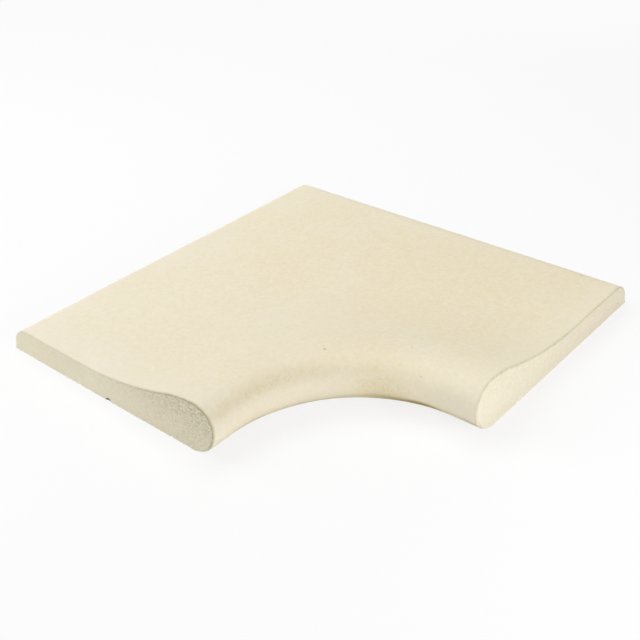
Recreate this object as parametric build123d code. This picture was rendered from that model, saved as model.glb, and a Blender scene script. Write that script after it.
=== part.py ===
from build123d import *
import os
from math import atan, degrees, sin

# Inside-corner pool coping stone, cast in one piece from reconstituted stone.
# It turns a 90 degree corner of the pool: straight copings butt against its two joint faces, the paving
# against its two back sides, and the rolled nose goes round the water on a quarter circle.
#
# Millimetres, +Z up. The stone lies on its bed as laid. The origin is at the middle of the square
# footprint, on the bed. The pool is towards -X and -Y, the paving towards +X and +Y.

# Plan
coping_width = 325  # from a back side to the tip of the nose, the same as on the straight copings
corner_radius = 145  # of the nose round the pool, at its tip
straight_run = 30  # of nose between the quarter circle and each joint face
back_corner_radius = 5  # upright edge where the two back sides meet

# Section
back_thickness = 32  # flat part of the top above the bed
nose_height = 60  # crown of the nose above the bed
nose_top_radius = 25  # from the crown down to the tip; the rest of the height rolls under to the bed
rise_run = 170  # in plan, from the end of the flat to the crown
crown_radius = 125  # back of the crown, which the hollow below it continues

# Edges
back_draft = 15  # degrees off the upright, so that the stone leaves its mould
back_round = 28  # top edge of the back sides
joint_arris = 1.2  # worn edge all round a joint face, apart from the bed

# Worked out from these
back_reach = corner_radius + coping_width  # from the axis of the quarter circle to a back side
side = straight_run + back_reach  # of the square footprint
nose_under_radius = nose_height - nose_top_radius
rise = nose_height - back_thickness
rise_angle = 2 * atan(rise / rise_run)
hollow_radius = rise_run / sin(rise_angle) - crown_radius
beyond_corner = 2 * back_reach  # past the far corner of the footprint, seen from that axis


def nose_section():
    """Section on the XZ plane at its distance from the upright axis of the quarter circle.

    Every stretch of the top and the nose runs into the next without a break. Towards the back the flat
    goes on past the footprint, where the back sides cut it off.
    """
    turn = degrees(rise_angle)
    bed = Line((beyond_corner, 0), (corner_radius + nose_under_radius, 0))
    roll_under = JernArc(bed @ 1, bed % 1, nose_under_radius, -90)
    roll_over = JernArc(roll_under @ 1, roll_under % 1, nose_top_radius, -90)
    crown = JernArc(roll_over @ 1, roll_over % 1, crown_radius, -turn)
    hollow = JernArc(crown @ 1, crown % 1, hollow_radius, turn)
    flat = Line(hollow @ 1, (beyond_corner, back_thickness))
    closing = Line(flat @ 1, bed @ 0)
    return Plane.XZ * make_face([bed, roll_under, roll_over, crown, hollow, flat, closing])


def nose_round_pool():
    """Quarter turn of the section, with a straight run at each end up to the joint faces."""
    section = nose_section()
    quarter = revolve(section, Axis.Z, 90)
    run_y = extrude(section, amount=straight_run, dir=(0, -1, 0))
    run_x = extrude(Rot(0, 0, 90) * section, amount=straight_run, dir=(-1, 0, 0))
    return quarter + [run_x, run_y]


def drafted_block():
    """Block whose two back sides lean inwards from the foot, wide of the stone on the pool's sides."""
    length = 2 * beyond_corner
    foot = Pos(back_reach, back_reach) * Rectangle(length, length, align=(Align.MAX, Align.MAX))
    return extrude(foot, amount=nose_height, taper=back_draft)


def round_back(stone):
    """Round the top edge of both back sides, then the mitre and the upright edge where they meet."""
    flat_top = stone.faces().filter_by(Plane.XY).sort_by(Axis.Z)[-1]
    top_edges = flat_top.edges().filter_by(GeomType.LINE).sort_by(SortBy.LENGTH)[-2:]
    stone = fillet(top_edges, back_round)
    towards_corner = Axis((0, 0, 0), (1, 1, 0))
    mitre = stone.edges().sort_by(towards_corner)[-2:]
    return fillet(mitre, back_corner_radius)


def ease_joint_faces(stone):
    """Round the outline of both joint faces, except for the bed edge, which is the lowest of each."""
    for outward in (Axis.X, Axis.Y):
        joint_face = stone.faces().sort_by(outward)[0]
        outline = joint_face.edges().sort_by(Axis.Z)[1:]
        stone = fillet(outline, joint_arris)
    return stone


def coping_corner():
    """Whole stone, moved so that the middle of its footprint is the origin."""
    stone = nose_round_pool() & drafted_block()
    stone = ease_joint_faces(round_back(stone))
    axis_to_middle = side / 2 - straight_run
    return Pos(-axis_to_middle, -axis_to_middle) * stone


if __name__ == "__main__":
    os.makedirs("parts", exist_ok=True)
    export_step(coping_corner(), "parts/coping_corner.step")
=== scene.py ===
"""Inside-corner pool coping stone, wet-cast in cream reconstituted limestone.

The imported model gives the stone's size and place. This script makes the stone that is seen: one closed
mesh on the same section, with the casting's relief, bubbles and chips, and three finishes. It also makes the
plain studio round it.

Lengths are in millimetres, apart from Blender's own. +Z is up, the pool is towards -X and -Y, and the origin
is at the middle of the square footprint, on the bed.
"""

import logging
import math
from dataclasses import dataclass
from enum import Enum
from typing import Any

import bmesh
import bpy
import numpy as np
from mathutils import Matrix, Vector, geometry, noise


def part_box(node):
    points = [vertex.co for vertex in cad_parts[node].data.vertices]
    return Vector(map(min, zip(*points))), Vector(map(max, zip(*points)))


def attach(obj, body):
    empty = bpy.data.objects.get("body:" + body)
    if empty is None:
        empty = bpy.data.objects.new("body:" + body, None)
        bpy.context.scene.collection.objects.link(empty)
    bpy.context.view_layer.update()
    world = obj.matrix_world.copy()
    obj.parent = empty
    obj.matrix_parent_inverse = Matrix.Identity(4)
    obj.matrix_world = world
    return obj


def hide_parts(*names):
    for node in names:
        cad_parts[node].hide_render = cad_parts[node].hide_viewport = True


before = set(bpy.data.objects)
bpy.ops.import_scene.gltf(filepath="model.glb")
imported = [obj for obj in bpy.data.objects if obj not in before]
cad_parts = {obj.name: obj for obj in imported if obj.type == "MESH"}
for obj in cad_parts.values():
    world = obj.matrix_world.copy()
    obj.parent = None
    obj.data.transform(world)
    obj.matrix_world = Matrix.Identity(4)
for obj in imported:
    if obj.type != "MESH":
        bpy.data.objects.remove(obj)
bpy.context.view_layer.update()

LOG = logging.getLogger("coping")
MM = 0.001
SAND_LIGHT_AND_SHADE = "sand"  # the mesh's record of how bare the sand is at each point, from 0, all cement skin, to 1, bare, which also carries painted light and shade
USUAL = 0.5  # its value on most of the stone
DIRT_AND_SHADE = "dirt_and_shade"  # the mesh's record of how dark each point is drawn, from 0 to 1: dirt with painted shade in bites, painted shade elsewhere
WHITE = "#FFFFFF"
TINY = 1e-6  # length below which a direction can't be told
SAME_PLACE = 1e-5  # distance within which two points of a joint face count as one

Tree = bpy.types.NodeTree
Socket = bpy.types.NodeSocket
Outputs = bpy.types.NodeOutputs
Skin = bmesh.types.BMesh


def linear(hex_colour: str) -> tuple[float, float, float, float]:
    """Turn an sRGB hex colour into linear values.

    Args:
        hex_colour: Six hex digits after a hash sign.

    Returns:
        Red, green and blue from 0 to 1, and an alpha of 1.
    """
    parts = [int(hex_colour[i : i + 2], 16) / 255 for i in (1, 3, 5)]
    red, green, blue = (c / 12.92 if c <= 0.04045 else ((c + 0.055) / 1.055) ** 2.4 for c in parts)
    return red, green, blue, 1.0


def add_node(tree: Tree, kind: str, inputs: dict[str | int, Any] | None = None, **settings: Any) -> Outputs:
    """Add one node with its settings, its plain values and its links.

    Args:
        tree: Node tree that gets the node.
        kind: Kind of node, as Blender names it after the word ShaderNode.
        inputs: For each input, by name or number, its plain value or the socket that feeds it.
        settings: Values of the node's own properties.

    Returns:
        The node's outputs.
    """
    node = tree.nodes.new(f"ShaderNode{kind}")
    for name, value in settings.items():
        setattr(node, name, value)
    for key, value in (inputs or {}).items():
        if isinstance(value, Socket):
            tree.links.new(value, node.inputs[key])
        else:
            node.inputs[key].default_value = value
    return node.outputs


def empty_tree(owner: bpy.types.Material | bpy.types.World) -> Tree:
    """Switch on the nodes of a material or a world, and clear them.

    Args:
        owner: The material or world.

    Returns:
        Its empty node tree.
    """
    owner.use_nodes = True
    owner.node_tree.nodes.clear()
    return owner.node_tree


def add_object(name: str, data: bpy.types.ID) -> bpy.types.Object:
    """Put an object into the scene.

    Args:
        name: Name of the object.
        data: Its mesh, lamp or camera.

    Returns:
        The new object.
    """
    added = bpy.data.objects.new(name, data)
    bpy.context.scene.collection.objects.link(added)
    return added


def within(value: float) -> float:
    """Keep a value from 0 to 1."""
    return min(1.0, max(0.0, value))


def bell(offset: float) -> float:
    """Strength of a mark, which falls from 1 in its middle to about a third at an offset of 1."""
    return math.exp(-(offset**2))


def per_metre(size_mm: float) -> float:
    """Texture scale that makes one feature about this many millimetres wide."""
    return 1 / (size_mm * MM)


class Face(Enum):
    """The stone's three kinds of surface. The value is the material slot."""

    MOULDED = 0
    JOINT = 1
    BED = 2


@dataclass(frozen=True)
class CastLimestone:
    """Reconstituted limestone: white cement, crushed limestone and silica sand, poured wet into a mould.

    To the eye it is matt and cream, cloudy over a hand's width, with sand that just shows through the cement
    skin as paler and warmer grains. A joint face is drawn greyer and grittier towards the top than at the
    bed:
    the grit is its own, the grey is painted shade, and the paler foot is painted bounce light. Trapped air
    leaves round pores, drawn darker with dirt and painted shade. It hardly shines, at the usual IOR of 1.5.

    Attributes:
        name: Material name.
        body: Colour of most of the surface, at the -X and +Y end of the stone.
        warm: The same at the +X and -Y end.
        pale: Colour where the cement skin is thickest, and of the pale grains.
        bare: Colour of bare sand.
        dark: Colour of the brown grains, of dirt, and of painted shade.
        coarse: Colour of the painted shade that greys a face upwards from the bed.
        drift_mm: Distance across the stone over which the mix turns from body to warm.
        cloud_mm: Width of the clouds.
        clouds: Strength of the clouds.
        mottle_mm: Width of the smaller blotches.
        mottle: Strength of the blotches.
        grain_mm: Width of a sand grain. Real ones are 0.3 to 1 mm, which is too fine to show, so they are
            drawn coarser.
        grain_height_mm: How far the grains stand out.
        lump: Width of the lumps that the sand makes, in grains.
        pale_share: Share of the grains that are pale, everywhere.
        pale_grains: Strength of those.
        bare_grains: Share of the grains that are brown, and of further pale ones, halfway from usual to bare
            sand. Where it is usual there are none.
        brown_strength: Strength of those brown grains.
        white_strength: Strength of those pale grains.
        skin: Strength of the paler cement skin and the bare sand that the mesh records. That record also
            paints
        light and shade.
        bare_grit: How many times higher the grains stand where the sand is bare.
        height_shade: Strength of that painted shade at the height of the crown. It fades out towards the
            bed, which
        is drawn paler there as painted bounce light.
        crown_mm: That height.
        pore_mm: Spacing of the cells that may each hold one pore.
        pores: Share of those cells that do.
        pore_radius: Radius of the smallest and the largest pore, as a share of that spacing.
        pore_wall: Share of its radius at which a pore's wall meets its bottom.
        pore_depth_mm: Depth of a pore.
        pore_dirt_and_shade: Strength of the darkening in it: dirt, and painted shade in its hollow.
        roughness: Of the shader.
        ior: Of the shader.
        specular: Specular level of the shader.
    """

    name: str
    body: str
    warm: str
    pale: str
    bare: str
    dark: str
    coarse: str = "#CAC3A8"
    drift_mm: float = 620.0
    cloud_mm: float = 95.0
    clouds: float = 0.3
    mottle_mm: float = 5.0
    mottle: float = 0.45
    grain_mm: float = 1.4
    grain_height_mm: float = 0.12
    lump: float = 1.5
    pale_share: float = 0.3
    pale_grains: float = 0.4
    bare_grains: float = 0.0
    brown_strength: float = 0.35
    white_strength: float = 0.5
    skin: float = 0.0
    bare_grit: float = 1.0
    height_shade: float = 0.0
    crown_mm: float = 60.0
    pore_mm: float = 7.0
    pores: float = 0.012
    pore_radius: tuple[float, float] = (0.05, 0.17)
    pore_wall: float = 0.45
    pore_depth_mm: float = 0.4
    pore_dirt_and_shade: float = 0.5
    roughness: float = 0.88
    ior: float = 1.5
    specular: float = 0.3

    def material(self) -> bpy.types.Material:
        """Build the material.

        Returns:
            The new material, patterned in the stone's own coordinates.
        """
        material = bpy.data.materials.new(self.name)
        tree = empty_tree(material)
        place = add_node(tree, "TexCoord")["Object"]
        sand = add_node(tree, "Attribute", attribute_name=SAND_LIGHT_AND_SHADE)["Fac"]
        pore = self.pore_mask(tree, place)
        finish = {
            "Base Color": self.colour(tree, place, sand, pore),
            "Roughness": self.roughness,
            "IOR": self.ior,
            "Specular IOR Level": self.specular,
            "Normal": self.surface(tree, place, sand, pore),
        }
        shader = add_node(tree, "BsdfPrincipled", finish)["BSDF"]
        add_node(tree, "OutputMaterial", {"Surface": shader})
        return material

    def pore_mask(self, tree: Tree, place: Socket) -> Socket:
        """Mask of the small pores.

        Args:
            tree: The material's nodes.
            place: Coordinates on the stone.

        Returns:
            A value of 1 in the middle of a pore and 0 outside.
        """
        cells = add_node(tree, "TexVoronoi", {"Vector": place, "Scale": per_metre(self.pore_mm)})
        lot = add_node(tree, "SeparateColor", {"Color": cells["Color"]})
        least, most = self.pore_radius
        radius = add_node(tree, "MapRange", {"Value": lot["Green"], "To Min": least, "To Max": most})[0]
        from_middle = add_node(tree, "Math", {0: cells["Distance"], 1: radius}, operation="DIVIDE")[0]
        wall = {"Value": from_middle, "From Min": 1.0, "From Max": self.pore_wall}
        inside = add_node(tree, "MapRange", wall, interpolation_type="SMOOTHSTEP")[0]
        drawn = add_node(tree, "Math", {0: lot["Red"], 1: self.pores}, operation="LESS_THAN")[0]
        return add_node(tree, "Math", {0: inside, 1: drawn}, operation="MULTIPLY")[0]

    def colour(self, tree: Tree, place: Socket, sand: Socket, pore: Socket) -> Socket:
        """Colour of the surface, from the body out to the dirt and painted shade that lie on it, with
        painted light and shade also drawn through the sand record and by height.

        Args:
            tree: The material's nodes.
            place: Coordinates on the stone.
            sand: How bare the sand is.
            pore: Mask of the small pores.

        Returns:
            The colour.
        """
        drift_way = Vector((1, -1, 0)).normalized()
        across = add_node(tree, "VectorMath", {0: place, 1: drift_way}, operation="DOT_PRODUCT")["Value"]
        large = {"Vector": place, "Scale": per_metre(self.cloud_mm), "Detail": 3.0}
        clouds = add_node(tree, "TexNoise", large)["Fac"]
        small = {"Vector": place, "Scale": per_metre(self.mottle_mm), "Detail": 4.0, "Roughness": 0.6}
        blotches = add_node(tree, "TexNoise", small)["Fac"]
        grains = add_node(tree, "TexVoronoi", {"Vector": place, "Scale": per_metre(self.grain_mm)})
        lot = add_node(tree, "SeparateColor", {"Color": grains["Color"]})
        dirt_and_shade = add_node(tree, "Attribute", attribute_name=DIRT_AND_SHADE)["Fac"]
        height = add_node(tree, "SeparateXYZ", {"Vector": place})["Z"]
        least = 1 - 2 * self.bare_grains
        shown = add_node(tree, "MapRange", {"Value": sand, "From Min": USUAL, "To Min": least})[0]
        white, brown = (
            add_node(tree, "Math", {0: lot[draw], 1: shown}, operation="MULTIPLY")[0]
            for draw in ("Blue", "Green")
        )

        half_drift = self.drift_mm / 2 * MM
        middle = 0.5  # of a noise's values
        cloud, blotch = 0.2, 0.3  # how far from it a cloud and a blotch are at full strength
        faint = 1 / 3  # strength of the bare blotches, as a share of the pale ones'
        pore_edge = 0.2  # value of the mask at which the dirt and painted shade in a pore start
        layers = (
            (self.warm, across, -half_drift, half_drift, 1.0),
            (self.warm, clouds, middle, middle + cloud, self.clouds),
            (self.pale, clouds, middle, middle - cloud, self.clouds),
            # painted shade, greying a face upwards from the bed, whose paler foot stands in for bounce light
            (self.coarse, height, 0.0, self.crown_mm * MM, self.height_shade),
            (self.bare, blotches, middle, middle + blotch, self.mottle * faint),
            (self.pale, blotches, middle, middle - blotch, self.mottle),
            # through the sand record, these two also paint the nose's band of shade, its paler foot and the
            # joint faces' light and shade
            (self.pale, sand, USUAL, 0.0, self.skin),
            (self.bare, sand, USUAL, 1.0, self.skin),
            (self.pale, lot["Red"], 1 - self.pale_share, 1.0, self.pale_grains),
            (self.pale, white, least, 1.0, self.white_strength),
            (self.dark, brown, least, 1.0, self.brown_strength),
            # dirt and painted shade in the middle of each pore
            (self.dark, pore, pore_edge, 1.0, self.pore_dirt_and_shade),
            # the mesh's record of dirt in bites and of painted shade along edges, on the back sides and at
            # the nose's foot
            (self.dark, dirt_and_shade, 0.0, 1.0, 1.0),
        )
        colour = linear(self.body)
        for over, mask, none, full, strength in layers:
            cover = {"Value": mask, "From Min": none, "From Max": full, "To Max": strength}
            factor = add_node(tree, "MapRange", cover)[0]
            colour = add_node(tree, "Mix", {0: factor, 6: colour, 7: linear(over)}, data_type="RGBA")[2]
        return colour

    def surface(self, tree: Tree, place: Socket, sand: Socket, pore: Socket) -> Socket:
        """Relief that is too fine for the mesh: pores and sand grains.

        Args:
            tree: The material's nodes.
            place: Coordinates on the stone.
            sand: How bare the sand is.
            pore: Mask of the small pores.

        Returns:
            The shading normal.
        """
        lumps = {"Scale": per_metre(self.lump * self.grain_mm), "Detail": 2.0, "Roughness": 0.6}
        grit = add_node(tree, "TexNoise", {"Vector": place} | lumps)["Fac"]
        bared = {"Value": sand, "From Min": USUAL, "To Min": 1.0, "To Max": self.bare_grit}
        stand = add_node(tree, "MapRange", bared)[0]
        height = add_node(tree, "Math", {0: grit, 1: stand}, operation="MULTIPLY")[0]
        hollows = {"Distance": self.pore_depth_mm * MM, "Height": pore}
        pores = add_node(tree, "Bump", hollows, invert=True)["Normal"]
        grains = {"Distance": self.grain_height_mm * MM, "Height": height, "Normal": pores}
        return add_node(tree, "Bump", grains)["Normal"]


@dataclass(frozen=True)
class Undulation:
    """One size of smooth, uneven relief.

    Attributes:
        height: How far it reaches either way.
        wave: Distance from one high place to the next, along X, Y and Z.
        seed: Shifts the pattern, so that no two are alike.
    """

    height: float
    wave: tuple[float, float, float]
    seed: float

    def at(self, point: Vector) -> float:
        """Height of the relief at a point of the stone."""
        scaled = [point[i] / self.wave[i] + self.seed for i in range(3)]
        return self.height * noise.noise(Vector(scaled))


@dataclass(frozen=True)
class Bite:
    """A burst bubble or a chipped edge: a round hollow taken out of the surface.

    Attributes:
        at: Place on the surface.
        outward: Way out of the stone there.
        radius: Of its mouth.
        depth: Below the surface.
        along: Direction in which a chip is drawn out.
        stretch: How many times longer it is that way.
        dirt_and_shade: How dark its bottom is drawn: dirt, and painted shade that deepens with depth.
        rough: How uneven its wall is, as a share of the ball's radius.
        lumps: Lumps of the wall in each millimetre.
        margin: Distance from its middle within which it may change the surface, as a share of its radius.
    """

    at: tuple[float, float, float]
    outward: tuple[float, float, float]
    radius: float
    depth: float
    along: tuple[float, float, float] = (1.0, 0.0, 0.0)
    stretch: float = 1.0
    dirt_and_shade: float = 0.5
    rough: float = 0.12
    lumps: float = 0.9
    margin: float = 1.2

    @property
    def ball(self) -> float:
        """Radius of the ball whose cap is the hollow."""
        return (self.radius**2 + self.depth**2) / (2 * self.depth)

    @property
    def reach(self) -> float:
        """Distance from its middle within which it may change the surface."""
        return self.radius * max(self.stretch, 1.0) * self.margin

    def carve(self, point: Vector) -> tuple[Vector, float]:
        """Push a point onto the hollow's wall if it lies inside.

        Args:
            point: Place of the point before.

        Returns:
            Its place after, and how deep in the hollow it is, from 0 to 1.
        """
        out = Vector(self.outward).normalized()
        centre = Vector(self.at) + out * (self.ball - self.depth)
        along = Vector(self.along).normalized()
        offset = point - centre
        drawn = offset.dot(along)
        offset += along * (drawn / self.stretch - drawn)
        uneven = self.ball * (1 + self.rough * noise.noise(point * self.lumps))
        if offset.length >= uneven or offset.length < TINY:
            return point, 0.0
        moved = offset.normalized() * uneven
        pushed = moved.length - offset.length
        drawn = moved.dot(along)
        moved += along * (drawn * self.stretch - drawn)
        return centre + moved, min(1.0, pushed / self.depth)


def arc(centre: tuple[float, float], radius: float, start: float, end: float, step: float) -> np.ndarray:
    """Points along an arc, with its end and without its start.

    Args:
        centre: Middle of the arc.
        radius: Its radius.
        start: Angle of its start in degrees, from the first axis towards the second.
        end: Angle of its end in degrees.
        step: Longest distance from one point to the next.

    Returns:
        One row of two coordinates per point.
    """
    turn = math.radians(end - start)
    count = max(2, math.ceil(abs(turn) * radius / step))
    angles = math.radians(start) + turn * np.arange(1, count + 1) / count
    return np.column_stack([centre[0] + radius * np.cos(angles), centre[1] + radius * np.sin(angles)])


@dataclass(frozen=True)
class CopingSection:
    """Section square to the nose: flat, hollow, crown and rolled nose.

    Attributes:
        height: Crown of the nose above the bed.
        back_thickness: Flat part of the top above the bed.
        nose_top_radius: Of the nose from the crown down to the tip.
        rise_run: From the end of the flat to the crown.
        crown_radius: Of the back of the crown.
        back_draft: Lean of the back sides, in degrees.
        back_round: Radius of the top edge of the back sides.
        fine: Point spacing on the nose.
        coarse: Point spacing on the gentle curves.
    """

    height: float
    back_thickness: float = 32.0
    nose_top_radius: float = 25.0
    rise_run: float = 170.0
    crown_radius: float = 125.0
    back_draft: float = 15.0
    back_round: float = 28.0
    fine: float = 1.5
    coarse: float = 2.4

    def nose(self) -> np.ndarray:
        """Outline from the bed round the nose and over the crown to the flat.

        Returns:
            Rows of distance behind the tip and height.
        """
        under = self.height - self.nose_top_radius
        top = self.nose_top_radius
        turn = 2 * math.atan((self.height - self.back_thickness) / self.rise_run)
        hollow = self.rise_run / math.sin(turn) - self.crown_radius
        degrees = math.degrees(turn)
        crown_axis = (top, self.height - self.crown_radius)
        hollow_axis = (top + self.rise_run, self.back_thickness + hollow)
        return np.vstack(
            [
                (under, 0.0),
                arc((under, under), under, 270, 180, self.fine),
                arc((top, under), top, 180, 90, self.fine),
                arc(crown_axis, self.crown_radius, 90, 90 - degrees, self.coarse),
                arc(hollow_axis, hollow, 270 - degrees, 270, self.coarse),
            ]
        )

    def back(self) -> np.ndarray:
        """Outline from the flat over the rounded edge and down the drafted side.

        Returns:
            Rows of distance in from the foot of the side and height.
        """
        draft = math.radians(self.back_draft)
        axis_height = self.back_thickness - self.back_round
        side_top = axis_height + self.back_round * math.sin(draft)
        axis_inset = side_top * math.tan(draft) + self.back_round * math.cos(draft)
        rounded = arc((axis_inset, axis_height), self.back_round, 90, 180 - self.back_draft, self.coarse)
        steps = math.ceil(side_top / self.coarse)
        side = np.linspace(rounded[-1], (0.0, 0.0), steps + 1)[1:]
        return np.vstack([(axis_inset, self.back_thickness), rounded, side])


@dataclass(frozen=True)
class CornerPlan:
    """Plan of the stone, measured from the upright axis of the nose's quarter circle.

    Rays run from that axis, or square to the nose along its straight ends, out to the two back sides.

    Attributes:
        side: Of the square footprint.
        radius: Of the nose, at its tip.
        straight_run: Of nose between the quarter circle and each joint face.
        back_corner_radius: Of the upright edge where the back sides meet.
        arris: Radius of the worn edge round a joint face.
        arris_steps: Rays over that edge.
        step: Spacing of the rays at the tip of the nose.
        over_corner: Further rays over the back corner: 0 is its middle, and -1 and 1 are its ends.
    """

    side: float
    radius: float = 145.0
    straight_run: float = 30.0
    back_corner_radius: float = 5.0
    arris: float = 1.2
    arris_steps: int = 4
    step: float = 1.7
    over_corner: tuple[float, ...] = (-1.1, -0.7, -0.3, 0.3, 0.7, 1.1)

    @property
    def reach(self) -> float:
        """Distance from the axis to a back side."""
        return self.side - self.straight_run

    @property
    def axis(self) -> float:
        """X and Y of the axis in the stone's own frame."""
        return self.straight_run - self.side / 2

    def from_joint(self) -> np.ndarray:
        """Place the straight rays, with short steps round the arris.

        Returns:
            Their distances from their joint face.
        """
        turn = np.linspace(0, math.pi / 2, self.arris_steps, endpoint=False)
        inner = np.linspace(self.arris, self.straight_run, round(self.straight_run / self.step))
        return np.concatenate([self.arris * (1 - np.cos(turn)), inner[:-1]])

    def rays(self) -> tuple[np.ndarray, np.ndarray, np.ndarray]:
        """Rays from one joint face to the other.

        Returns:
            Their starts, their directions, and their distances from the nearest joint face.
        """
        near = self.from_joint()
        half = math.ceil(math.pi / 4 * self.radius / self.step)
        even = np.linspace(0, 90, 2 * half + 1)
        half_corner = math.degrees(math.atan(self.back_corner_radius / self.reach)) / 2
        turned = np.radians(np.union1d(even, 45 + half_corner * np.array(self.over_corner)))
        zero = np.zeros_like(near)
        first = np.column_stack([zero, near - self.straight_run, zero + 1, zero])
        zero = np.zeros_like(turned)
        middle = np.column_stack([zero, zero, np.cos(turned), np.sin(turned)])
        last = first[::-1, (1, 0, 3, 2)]
        rays = np.vstack([first, middle, last])
        far = np.full(len(turned), self.straight_run)
        return rays[:, :2], rays[:, 2:], np.concatenate([near, far, near[::-1]])

    def to_back(self, directions: np.ndarray, inset: np.ndarray) -> np.ndarray:
        """Distance along each ray to the back sides' outline at some distance in from their foot.

        Args:
            directions: One row per ray.
            inset: Distances in from the foot.

        Returns:
            One row per ray and one column per inset.
        """
        straight = (self.reach - inset) / directions.max(axis=1)[:, None]
        corner = self.reach - inset - self.back_corner_radius
        along = directions.sum(axis=1)[:, None]
        square = self.back_corner_radius**2 - corner**2 * (2 - along**2)
        rounded = along * corner + np.sqrt(np.maximum(square, 0))
        past = directions.min(axis=1)[:, None] * straight > corner
        return np.where(past, rounded, straight)


@dataclass(frozen=True)
class Wear:
    """Where the stone's skin is thick, bare or dirty, and where light and shade are painted onto it.

    Attributes:
        plan: The stone's plan.
        height: Crown of the nose above the bed.
        rim: Width of the paler rim along the four sides, which dry first.
        nose_reach: Distance behind the tip within which a point belongs to the nose.
        nose_lit_sand: How bare the sand is drawn round the nose, under the band that comes next. It is lower
            than
        usual, so the lower nose is paler, as painted bounce light.
        lip_height: Of the band of painted shade round the nose, drawn as bare sand, at the upper turn of the
            mould.
        lip_width: Half the band's width.
        lip_turn: Angle round the nose over which it fades in from the -Y end, in degrees, from and to.
        lip_shade: How bare and dark it is drawn, from usual at 0 to bare at 1.
        patch: Middle of the patch on the nose where the sand is bare.
        patch_reach: Half its width.
        bed_sand: How bare the sand is on the bed.
        lit_end_sand: The same at the nose of the -Y joint face, which is drawn paler there, as painted
            light.
        end_reach: Distance behind the tip over which what is drawn on a joint face thins out: grit, painted
            light
        and shade, and the painted shade of its outline.
        end_back: Share of the -X joint face's bare sand, with its grit and painted shade, that is left at
            the back.
        end_low: Share of it that shows just above the bed, which is drawn paler there as painted bounce
            light.
        edge_width: Of the darker outline of a joint face, which is painted shade along its worn arris.
        edge_gritty: That painted shade on the -X joint face, at the nose and at the back.
        edge_smooth: The same on the -Y joint face.
        edge_low: Share of it that is left low on the face. Below foot_height it fades out.
        edge_break: How unevenly it lies.
        edge_wave: Distance from one darker place to the next there.
        foot_height: Of the line of painted shade where the nose rolls under towards the floor.
        foot_width: Half its width.
        foot_wave: Distance along it over which its height wanders by part of that.
        foot_shade: Painted shade in that line.
        dark_stretch_turn: Angle round the nose of the middle of the dark stretch of that line, in degrees.
        dark_stretch_spread: Half the length of that stretch, in degrees.
        dark_stretch_shade: Further painted shade there.
        back_edge: Distance in from the back sides at which their painted shade starts, as the rounded edge
            turns
        away.
        back_fade: Distance over which it reaches its full strength.
        back_shade: That strength.
    """

    plan: CornerPlan
    height: float
    rim: float = 90.0
    nose_reach: float = 36.0
    nose_lit_sand: float = 0.2
    lip_height: float = 50.0
    lip_width: float = 7.0
    lip_turn: tuple[float, float] = (30.0, 70.0)
    lip_shade: float = 0.7
    patch: tuple[float, float, float] = (-92.0, -152.0, 22.0)
    patch_reach: float = 32.0
    bed_sand: float = 0.8
    lit_end_sand: float = 0.2
    end_reach: float = 180.0
    end_back: float = 0.2
    end_low: float = 0.4
    edge_width: float = 1.8
    edge_gritty: tuple[float, float] = (0.63, 0.16)
    edge_smooth: tuple[float, float] = (0.3, 0.38)
    edge_low: float = 0.5
    edge_break: float = 0.4
    edge_wave: float = 5.0
    foot_height: float = 13.0
    foot_width: float = 4.5
    foot_wave: float = 34.0
    foot_shade: float = 0.2
    dark_stretch_turn: float = 15.0
    dark_stretch_spread: float = 12.0
    dark_stretch_shade: float = 0.75
    back_edge: float = 16.0
    back_fade: float = 6.0
    back_shade: float = 0.13

    def round_nose(self, point: Vector) -> tuple[float, float]:
        """Find a point's place round the nose.

        Args:
            point: Place on the stone.

        Returns:
            Its distance behind the tip, and its angle round the nose in degrees, 0 at the -Y end.
        """
        x = max(point.x - self.plan.axis, 0.0)
        y = max(point.y - self.plan.axis, 0.0)
        return math.hypot(x, y) - self.plan.radius, math.degrees(math.atan2(y, x))

    def sand(self, point: Vector) -> float:
        """Find how bare the sand is on the moulded skin or the bed, with a band of painted shade round the
        upper nose and painted bounce light below it.

        Args:
            point: Place on the stone.

        Returns:
            A value from 0, all cement skin, to 1, bare.
        """
        if point.z <= 0:
            return self.bed_sand
        inside = self.plan.side / 2 - max(abs(point.x), abs(point.y))
        usual = USUAL * (1 - max(0.0, 1 - inside / self.rim) ** 2)
        behind, turn = self.round_nose(point)
        if behind > self.nose_reach:
            return usual
        below = (self.lip_height - point.z) / self.lip_width
        # Painted bounce light: below the band, the nose is drawn paler.
        usual = min(usual, USUAL - (USUAL - self.nose_lit_sand) * within(below))
        begin, full = self.lip_turn
        # Painted shade: a band of bare, darker sand with its grit round the upper nose, fading out towards
        # the -Y end.
        lip = bell(below) * within((turn - begin) / (full - begin)) * self.lip_shade
        patch = bell((point - Vector(self.patch)).length / self.patch_reach)
        return usual + (1 - usual) * max(lip, patch)

    def near_nose(self, point: Vector) -> float:
        """Share of a joint face's grit and painted light and shade that shows at a point: 1 at the tip of
        the nose, 0 at the back.
        """
        behind, _ = self.round_nose(point)
        return within(1 - behind / self.end_reach)

    def joint_sand_light_and_shade(self, point: Vector) -> float:
        """Find how bare the sand is drawn on a joint face. The -X one is bare and gritty, darker towards the
        nose and the top as painted shade and paler near the bed as painted bounce light; the other is smooth
        and paler at the nose, as painted light.

        Args:
            point: Place on the face.

        Returns:
            A value from 0, all cement skin, to 1, bare.
        """
        near = self.near_nose(point)
        if point.x > point.y:
            # Painted light: the -Y face is paler towards the nose.
            return USUAL - (USUAL - self.lit_end_sand) * near
        # Grit and painted shade: the -X face is barer and darker towards the nose and the top, paler at the
        # back and near the bed.
        along = self.end_back + (1 - self.end_back) * near
        up = self.end_low + (1 - self.end_low) * point.z / self.height
        return USUAL + (1 - USUAL) * along * up

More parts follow.
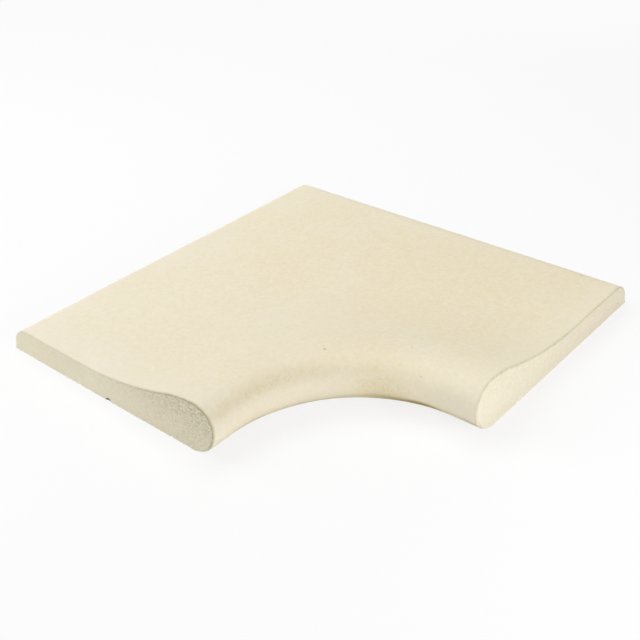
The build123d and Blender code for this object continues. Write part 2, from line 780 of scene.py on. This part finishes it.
    def dirt_and_shade(self, point: Vector, from_joint: float) -> float:
        """How much painted shade lies at a point: along a joint face's outline, on the back sides' turned
        edge and where the nose rolls under.

        Args:
            point: Place on the stone.
            from_joint: Distance from the nearest joint face.

        Returns:
            A share from 0 to 1.
        """
        # Painted shade along the worn arris round each joint face, darker up the face.
        near = within(1 - from_joint / self.edge_width)
        uneven = 1 + self.edge_break * noise.noise(point / self.edge_wave)
        up = min(1.0, self.edge_low + (1 - self.edge_low) * point.z / self.height)
        up *= min(1.0, point.z / self.foot_height)
        front, rear = self.edge_smooth if point.x > point.y else self.edge_gritty
        edge = (rear + (front - rear) * self.near_nose(point)) * near * uneven * up
        # Painted shade where the back sides' rounded edge turns away.
        inside = self.plan.side / 2 - max(point.x, point.y)
        back = self.back_shade * within((self.back_edge - inside) / self.back_fade)
        behind, turn = self.round_nose(point)
        if behind > self.nose_reach:
            return max(edge, back)
        # Painted shade in a line where the nose rolls under towards the floor, darker over one stretch.
        wander = noise.noise(point / self.foot_wave)
        level = (point.z - self.foot_height) / self.foot_width + wander
        dark_stretch = bell((turn - self.dark_stretch_turn) / self.dark_stretch_spread) * self.dark_stretch_shade
        return max(edge, bell(level) * (self.foot_shade + dark_stretch))


@dataclass
class CopingStone:
    """The whole stone: one casting, seen as one closed mesh with three finishes.

    Attributes:
        plan: Its plan.
        section: Its section.
        relief: Undulations of each kind of face. The bed's only go into the stone, so that it stays seated.
        bites: Bubbles and chips large enough to be modelled.
        flat_steps: Faces across the flat.
        bed_steps: Faces across the bed.
        joint_step: Point spacing on the joint faces.
        bite_spreads: Shares of a bite's reach within which the faces are cut smaller, one after another.
        bite_steps: Edges wanted along a bite's radius.
        finest: Shortest edge that is wanted there.
        sharp_angle: Turn of the surface, in degrees, past which an edge is shaded as sharp.
    """

    plan: CornerPlan
    section: CopingSection
    relief: dict[Face, tuple[Undulation, ...]]
    bites: tuple[Bite, ...]
    flat_steps: int = 64
    bed_steps: int = 100
    joint_step: float = 1.9
    bite_spreads: tuple[float, ...] = (1.5, 1.25, 1.1)
    bite_steps: int = 5
    finest: float = 0.22
    sharp_angle: float = 50.0

    def loops(self) -> tuple[np.ndarray, np.ndarray]:
        """Points of the section on every ray, as distance along the ray and height.

        Returns:
            An array of rays by points by two, and which of the segments between points are on the bed.
        """
        _, directions, near = self.plan.rays()
        nose = self.section.nose()
        back = self.section.back()
        rays = len(near)
        front = np.tile(self.plan.radius + nose[:, 0], (rays, 1))
        rear = self.plan.to_back(directions, back[:, 0])
        share = np.arange(1, self.flat_steps) / self.flat_steps
        flat = front[:, -1:] + (rear[:, :1] - front[:, -1:]) * share
        share = np.arange(1, self.bed_steps) / self.bed_steps
        bed = rear[:, -1:] + (front[:, :1] - rear[:, -1:]) * share
        distance = np.hstack([front, flat, rear, bed])
        level = np.full(flat.shape[1], self.section.back_thickness)
        height = np.concatenate([nose[:, 1], level, back[:, 1], np.zeros(bed.shape[1])])
        loops = np.dstack([distance, np.tile(height, (rays, 1))])
        on_bed = np.arange(distance.shape[1]) >= distance.shape[1] - self.bed_steps
        return self.ease_ends(loops, near, on_bed), on_bed

    def ease_ends(self, loops: np.ndarray, near: np.ndarray, on_bed: np.ndarray) -> np.ndarray:
        """Draw the outline in near each joint face, round the worn arris, but not at the bed.

        Args:
            loops: Points of the section on every ray.
            near: Distance of each ray from its joint face.
            on_bed: Which segments are on the bed.

        Returns:
            The points, moved.
        """
        arris = self.plan.arris
        past = np.clip(arris - near, 0, None)
        inset = arris - np.sqrt(arris**2 - past**2)
        ahead = np.roll(loops, -1, axis=1) - np.roll(loops, 1, axis=1)
        normal = np.dstack([-ahead[..., 1], ahead[..., 0]])
        normal /= np.linalg.norm(normal, axis=2, keepdims=True)
        full_height = 6 * arris  # above the bed, from which the outline is drawn in all the way
        fade = np.clip(loops[..., 1] / full_height, 0, 1)
        fade[:, on_bed] = 0
        return loops - normal * (inset[:, None] * fade)[..., None]

    def in_space(self, loops: np.ndarray) -> np.ndarray:
        """Place the loops in the stone's own frame.

        Args:
            loops: Points of the section on every ray.

        Returns:
            An array of rays by points by three.
        """
        starts, directions, _ = self.plan.rays()
        ground = self.plan.axis + starts[:, None, :] + directions[:, None, :] * loops[..., :1]
        return np.dstack([ground, loops[..., 1]])

    def joint_points(self, outline: np.ndarray) -> np.ndarray:
        """Staggered points that fill a joint face, clear of its outline.

        Args:
            outline: The face's outline, as distance along the ray and height.

        Returns:
            Points inside it.
        """
        step = self.joint_step
        foot, clear = step * 0.6, step * 0.55  # height of the first row, and smallest gap to the outline
        low, high = outline.min(axis=0), outline.max(axis=0)
        rows = np.arange(low[1] + foot, high[1], step * math.sqrt(3) / 2)
        across = [np.arange(low[0] + (i % 2) * step / 2, high[0], step) for i in range(len(rows))]
        points = np.array([(x, z) for z, row in zip(rows, across) for x in row])
        gap = np.linalg.norm(points[:, None, :] - outline[None, :, :], axis=2).min(axis=1)
        crosses = np.zeros(len(points), dtype=bool)
        for (x0, z0), (x1, z1) in zip(outline, np.roll(outline, -1, axis=0)):
            spans = (z0 > points[:, 1]) != (z1 > points[:, 1])
            if spans.any():
                meets = x0 + (points[:, 1] - z0) * (x1 - x0) / np.where(z1 == z0, np.inf, z1 - z0)
                crosses ^= spans & (points[:, 0] < meets)
        return points[crosses & (gap > clear)]

    def fill_joint(self, outline: np.ndarray) -> tuple[np.ndarray, list[tuple[int, int, int]]]:
        """Triangles of a joint face.

        Args:
            outline: The face's outline.

        Returns:
            The points added inside the outline, and triangles that count them after the outline's own.
        """
        inner = self.joint_points(outline)
        points = [Vector(p) for p in np.vstack([outline, inner])]
        count = len(outline)
        edges = [(i, (i + 1) % count) for i in range(count)]
        inside_only = 1
        _, _, faces, origin, *_ = geometry.delaunay_2d_cdt(points, edges, [], inside_only, SAME_PLACE)
        return inner, [tuple(origin[i][0] for i in face) for face in faces]

    def shell(self) -> Skin:
        """The stone's smooth skin: section loops joined along the nose, closed by the joint faces.

        Returns:
            A closed mesh in millimetres, with each face's kind as its material.
        """
        loops, on_bed = self.loops()
        space = self.in_space(loops)
        rays, count, _ = space.shape
        mesh = bmesh.new()
        sand = mesh.verts.layers.float.new(SAND_LIGHT_AND_SHADE)
        dirt_and_shade = mesh.verts.layers.float.new(DIRT_AND_SHADE)
        wear = Wear(plan=self.plan, height=self.section.height)
        rings = [[mesh.verts.new(p) for p in ring] for ring in space]
        _, _, near = self.plan.rays()
        # Each point's sand record, which also paints light and shade, and its record of dirt and painted
        # shade.
        for ring, distance in zip(rings, near):
            for vert in ring:
                vert[sand] = wear.sand(vert.co) if distance > 0 else wear.joint_sand_light_and_shade(vert.co)
                vert[dirt_and_shade] = wear.dirt_and_shade(vert.co, distance)
        for before, after in zip(rings, rings[1:]):
            for i in range(count):
                j = (i + 1) % count
                face = mesh.faces.new((before[i], after[i], after[j], before[j]))
                kind = Face.BED if on_bed[i] else Face.MOULDED
                face.material_index = kind.value
        for ray in (0, rays - 1):
            inner, triangles = self.fill_joint(loops[ray])
            flat = self.in_space(np.tile(inner, (rays, 1, 1)))[ray]
            middle = [mesh.verts.new(p) for p in flat]
            for vert in middle:
                vert[sand] = wear.joint_sand_light_and_shade(vert.co)
            corners = rings[ray] + middle
            for triangle in triangles:
                face = mesh.faces.new([corners[i] for i in triangle])
                face.material_index = Face.JOINT.value
        bmesh.ops.recalc_face_normals(mesh, faces=mesh.faces)
        return mesh

    def footprint(self) -> np.ndarray:
        """Outline of the bed in plan.

        Returns:
            One row of X and Y per point.
        """
        loops, on_bed = self.loops()
        ground = self.in_space(loops)[:, (0, np.argmax(on_bed)), :2]
        return np.vstack([ground[:, 0], ground[::-1, 1]])

    def refine(self, mesh: Skin) -> None:
        """Cut the faces round each bite small enough to take its shape.

        Args:
            mesh: The stone's skin.
        """
        for spread in self.bite_spreads:
            edges = set()
            for bite in self.bites:
                middle = Vector(bite.at)
                reach = bite.reach * spread
                wanted = max(bite.radius / self.bite_steps, self.finest)
                for edge in mesh.edges:
                    centre = (edge.verts[0].co + edge.verts[1].co) / 2
                    if (centre - middle).length < reach + wanted and edge.calc_length() > wanted:
                        edges.add(edge)
            if edges:
                bmesh.ops.subdivide_edges(mesh, edges=list(edges), cuts=1, use_grid_fill=True)

    def raise_relief(self, mesh: Skin) -> None:
        """Move every point along its normal by the relief of the faces that it belongs to.

        Args:
            mesh: The stone's skin.
        """
        mesh.normal_update()
        moved = []
        for vert in mesh.verts:
            kinds = [Face(face.material_index) for face in vert.link_faces]
            height = 0.0
            for kind in set(kinds):
                total = sum(wave.at(vert.co) for wave in self.relief[kind])
                if kind is Face.BED:
                    total = -abs(total)
                height += total * kinds.count(kind) / len(kinds)
            moved.append(vert.co + vert.normal * height)
        for vert, place in zip(mesh.verts, moved):
            vert.co = place
            vert.co.z = max(place.z, 0.0)

    def carve_bites(self, mesh: Skin) -> None:
        """Take each bite out of the skin and note its dirt and painted shade for the finishes.

        Args:
            mesh: The stone's skin.
        """
        dirt_and_shade = mesh.verts.layers.float[DIRT_AND_SHADE]
        for bite in self.bites:
            middle = Vector(bite.at)
            for vert in mesh.verts:
                if (vert.co - middle).length < bite.reach + bite.depth:
                    vert.co, depth = bite.carve(vert.co.copy())
                    vert.co.z = max(vert.co.z, 0.0)
                    # Dirt and painted shade, darker the deeper a point lies in the hollow.
                    vert[dirt_and_shade] = max(vert[dirt_and_shade], depth * bite.dirt_and_shade)

    def build(self, name: str, finishes: dict[Face, CastLimestone]) -> bpy.types.Object:
        """Make the stone.

        Args:
            name: Name of the piece.
            finishes: Finish of each kind of face.

        Returns:
            The new object.
        """
        skin = self.shell()
        self.refine(skin)
        self.raise_relief(skin)
        self.carve_bites(skin)
        bmesh.ops.scale(skin, vec=(MM, MM, MM), verts=skin.verts)
        mesh = bpy.data.meshes.new(name)
        skin.to_mesh(mesh)
        skin.free()
        for kind in Face:
            mesh.materials.append(finishes[kind].material())
        mesh.shade_smooth()
        mesh.set_sharp_from_angle(angle=math.radians(self.sharp_angle))
        return add_object(name, mesh)


@dataclass(frozen=True)
class Lamp:
    """A soft square lamp that faces the stone.

    Attributes:
        name: Name of the lamp.
        place: Where it hangs, in metres.
        width: Its width, in metres.
        watts: Its power.
    """

    name: str
    place: tuple[float, float, float]
    width: float
    watts: float

    def hang(self) -> None:
        """Add the lamp to the scene."""
        data = bpy.data.lights.new(self.name, "AREA")
        data.shape = "SQUARE"
        data.size = self.width
        data.energy = self.watts
        lamp = add_object(self.name, data)
        lamp.location = self.place
        lamp.rotation_mode = "QUATERNION"
        lamp.rotation_quaternion = (-Vector(self.place)).to_track_quat("-Z", "Y")


@dataclass
class Studio:
    """Plain pale studio: a white floor, even light all round, soft lamps and the camera.

    Attributes:
        opening: Outline of the stone's bed. The floor is cut out under it, so that the bed can be looked at.
        opening_share: Size of the cut-out, as a share of the bed's.
        floor_mm: Width of the floor.
        floor_colour: Its colour.
        floor_white: Share of plain white in the floor as it is seen. The rest is its own colour and shadow.
        white_from_mm: Distance from the stone's middle at which the floor starts to turn plain white.
        white_mm: Distance at which it is plain white.
        world_strength: Of the even light.
        lamps: Broad ones above and behind, smaller ones that fill in the two joint faces, and one below the
            floor, which reaches the bed alone.
        view_azimuth: Way that the camera looks, in degrees, as on a compass turned anticlockwise from +Y.
        view_elevation: Height of the camera above the horizon, in degrees.
        view_roll: Tilt of the picture, in degrees.
        view_distance: From the camera to the point that it looks at.
        aim: That point.
        focal_length: Of its lens.
        sensor_width: Of the camera.
    """

    opening: np.ndarray
    opening_share: float = 0.995
    floor_mm: float = 12000.0
    floor_colour: str = "#F7F7F7"
    floor_white: float = 0.8
    white_from_mm: float = 1000.0
    white_mm: float = 2500.0
    world_strength: float = 0.1
    lamps: tuple[Lamp, ...] = (
        Lamp("back_high", (0.4, 0.7, 2.0), 1.2, 19.4),
        Lamp("back_left", (-0.9, 1.5, 1.5), 1.8, 27.6),
        Lamp("back_right_low", (2.2, 0.5, 0.6), 1.0, 7.1),
        Lamp("front_right", (-1.0, -2.05, 0.6), 1.0, 11.2),
        Lamp("right_near", (-0.1, -1.1, 0.45), 0.5, 4.4),
        Lamp("left_near", (-0.85, 0.25, 0.2), 0.3, 0.47),
        Lamp("below", (0.6, -0.3, -1.2), 0.8, 20.0),
    )
    view_azimuth: float = -48.51
    view_elevation: float = 32.24
    view_roll: float = -2.39
    view_distance: float = 1131.4
    aim: tuple[float, float, float] = (3.5, 11.3, 0.0)
    focal_length: float = 54.64
    sensor_width: float = 36.0

    def camera(self) -> None:
        """Set up the camera at the photograph's angle."""
        azimuth, elevation = math.radians(self.view_azimuth), math.radians(self.view_elevation)
        level = math.cos(elevation)
        back = Vector((math.sin(azimuth) * level, -math.cos(azimuth) * level, math.sin(elevation)))
        data = bpy.data.cameras.new("view")
        data.sensor_width = self.sensor_width
        data.lens = self.focal_length
        camera = add_object("view", data)
        facing = (-back).to_track_quat("-Z", "Y").to_matrix().to_4x4()
        roll = Matrix.Rotation(math.radians(self.view_roll), 4, "Z")
        place = Matrix.Translation((Vector(self.aim) + back * self.view_distance) * MM)
        camera.matrix_world = place @ facing @ roll
        bpy.context.scene.camera = camera

    def floor(self) -> None:
        """Lay the white floor, which takes the stone's shadow and can be looked through from below."""
        half = self.floor_mm / 2 * MM
        square = ((-half, -half), (half, -half), (half, half), (-half, half))
        corners = [Vector((x, y, 0)) for x, y in square]
        hole = [Vector((x, y, 0)) * MM * self.opening_share for x, y in self.opening]
        mesh = bpy.data.meshes.new("floor")
        mesh.from_pydata(corners + hole, [], geometry.tessellate_polygon([corners, hole]))
        mesh.update()
        if mesh.polygons[0].normal.z < 0:
            mesh.flip_normals()
        mesh.materials.append(self.paper())
        floor = add_object("floor", mesh)

    def paper(self) -> bpy.types.Material:
        """White paper, seen as plain white away from the stone and not at all from below.

        Returns:
            The floor's material.
        """
        material = bpy.data.materials.new("white_paper_floor")
        tree = empty_tree(material)
        place = add_node(tree, "TexCoord")["Object"]
        away = add_node(tree, "VectorMath", {0: place}, operation="LENGTH")["Value"]
        start, end = self.white_from_mm * MM, self.white_mm * MM
        fade = {"Value": away, "From Min": start, "From Max": end, "To Min": self.floor_white}
        share = add_node(tree, "MapRange", fade)[0]
        seen = self.seen_directly(tree, share)
        paper = add_node(tree, "BsdfDiffuse", {"Color": linear(self.floor_colour)})[0]
        white = add_node(tree, "Emission", {"Color": linear(WHITE), "Strength": 1.0})[0]
        top = add_node(tree, "MixShader", {0: seen, 1: paper, 2: white})[0]
        under = add_node(tree, "BsdfTransparent")[0]
        below = add_node(tree, "NewGeometry")["Backfacing"]
        both = add_node(tree, "MixShader", {0: below, 1: top, 2: under})[0]
        add_node(tree, "OutputMaterial", {"Surface": both})
        return material

    def seen_directly(self, tree: Tree, strength: float | Socket) -> Socket:
        """Value that a camera, glossy or clear ray finds, and that the light on the stone doesn't.

        Args:
            tree: Nodes of the material or world.
            strength: Value for those rays.

        Returns:
            The value, which is 0 for all other rays.
        """
        path = add_node(tree, "LightPath")
        rays = path["Is Camera Ray"]
        for other in ("Is Glossy Ray", "Is Transmission Ray"):
            rays = add_node(tree, "Math", {0: rays, 1: path[other]}, operation="MAXIMUM")[0]
        return add_node(tree, "Math", {0: rays, 1: strength}, operation="MULTIPLY")[0]

    def world(self) -> None:
        """Surround the studio with even light and a backdrop that is seen as plain white."""
        world = bpy.data.worlds.new("studio")
        tree = empty_tree(world)
        light, backdrop = (
            add_node(tree, "Background", {"Color": linear(WHITE), "Strength": strength})[0]
            for strength in (self.world_strength, 1.0)
        )
        seen = self.seen_directly(tree, 1.0)
        both = add_node(tree, "MixShader", {0: seen, 1: light, 2: backdrop})[0]
        add_node(tree, "OutputWorld", {"Surface": both})
        bpy.context.scene.world = world

    def build(self) -> None:
        """Set the whole studio up."""
        self.floor()
        self.world()
        for lamp in self.lamps:
            lamp.hang()
        self.camera()
        bpy.context.scene.view_settings.view_transform = "Standard"


MOULD_SKIN = CastLimestone(
    name="cast_limestone_mould_skin",
    body="#F1E7CF",
    warm="#EDE1C0",
    pale="#F3EBDA",
    bare="#DFCF9F",
    dark="#968839",
    clouds=0.35,
    mottle=0.95,
    bare_grains=0.12,
    brown_strength=0.22,
    white_strength=0.4,
    skin=0.45,
    bare_grit=3.5,
    pores=0.003,
)
END_CAST = CastLimestone(
    name="cast_limestone_gritty_end",
    body="#F4ECD3",
    warm="#EADFC9",
    pale="#F8F3DF",
    bare="#E8DEB2",
    dark="#7D7655",
    clouds=0.2,
    mottle=0.6,
    grain_height_mm=0.6,
    bare_grains=0.25,
    brown_strength=0.5,
    white_strength=1.0,
    skin=0.35,
    bare_grit=4.0,
    height_shade=0.35,
    pore_mm=3.4,
    pores=0.03,
)
SCREEDED_BED = CastLimestone(
    name="cast_limestone_screeded_bed",
    body="#DDD3BC",
    warm="#D8CDB2",
    pale="#E6DEC9",
    bare="#C9BB94",
    dark="#8C7E61",
    clouds=0.8,
    mottle_mm=16.0,
    mottle=0.8,
    grain_mm=1.8,
    grain_height_mm=0.6,
    bare_grains=0.1,
    pore_mm=6.0,
    pores=0.2,
    pore_depth_mm=1.0,
    roughness=0.93,
)

RELIEF = {
    Face.MOULDED: (
        Undulation(0.28, (110, 110, 60), 3.1),
        Undulation(0.12, (34, 34, 20), 17.7),
        Undulation(0.045, (9, 9, 9), 41.3),
    ),
    Face.JOINT: (
        Undulation(0.3, (60, 60, 30), 5.9),
        Undulation(0.16, (9, 9, 9), 23.4),
        Undulation(0.14, (4, 4, 4), 51.2),
    ),
    Face.BED: (
        Undulation(0.7, (150, 90, 50), 8.6),
        Undulation(0.5, (120, 17, 30), 29.5),
        Undulation(0.3, (9, 9, 9), 61.8),
    ),
}

# A chip of the bed edge of the -X joint face: its way out of the stone, and the way that it is drawn out.
CHIP = {"outward": (-1.0, 0.0, -0.7), "along": (0, 1, 0)}
BITES = (
    Bite(at=(-106.5, -90.5, 59.9), outward=(0, 0, 1), radius=1.4, depth=1.1),
    Bite(at=(-50.3, -157.4, 59.5), outward=(0, 0, 1), radius=0.7, depth=0.4, dirt_and_shade=0.3),
    Bite(at=(-74.7, -185.8, 48.9), outward=(-0.83, -0.19, 0.52), radius=0.8, depth=0.5, dirt_and_shade=0.3),
    Bite(at=(-102.1, -135.4, 31.6), outward=(-0.82, -0.58, -0.05), radius=0.8, depth=0.4, dirt_and_shade=0.4),
    Bite(at=(-63.7, -224.3, 55.9), outward=(-0.52, 0, 0.86), radius=0.6, depth=0.3, dirt_and_shade=0.2),
    Bite(at=(228.8, -250, 9), outward=(0, -1, 0), radius=1.2, depth=0.9),
    Bite(at=(224, -204.5, 31.6), outward=(0.3, 0, 1), radius=1.3, depth=0.9),
    Bite(at=(-250, 85.2, 1.0), radius=2.8, depth=2.4, stretch=1.5, dirt_and_shade=1.0, **CHIP),
    Bite(at=(-250, -10.5, 0.5), radius=2.0, depth=1.4, stretch=1.5, dirt_and_shade=0.9, **CHIP),
    Bite(at=(-250, 29.0, 0.8), radius=1.6, depth=1.0, stretch=1.6, **CHIP),
)


def main() -> None:
    """Build the stone and the studio, and report each piece."""
    logging.basicConfig(level=logging.INFO, format="%(name)s: %(message)s")
    low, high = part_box("coping_corner")
    side, height = (high[0] - low[0]) / MM, (high[2] - low[2]) / MM
    stone = CopingStone(
        plan=CornerPlan(side=side), section=CopingSection(height=height), relief=RELIEF, bites=BITES
    )
    finishes = {Face.MOULDED: MOULD_SKIN, Face.JOINT: END_CAST, Face.BED: SCREEDED_BED}
    piece = stone.build("coping_stone", finishes)
    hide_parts("coping_corner")
    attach(piece, "root")
    triangles = sum(len(face.vertices) - 2 for face in piece.data.polygons)
    LOG.info("%s: %d points, %d triangles", piece.name, len(piece.data.vertices), triangles)
    Studio(opening=stone.footprint()).build()


if __name__ == "__main__":
    main()
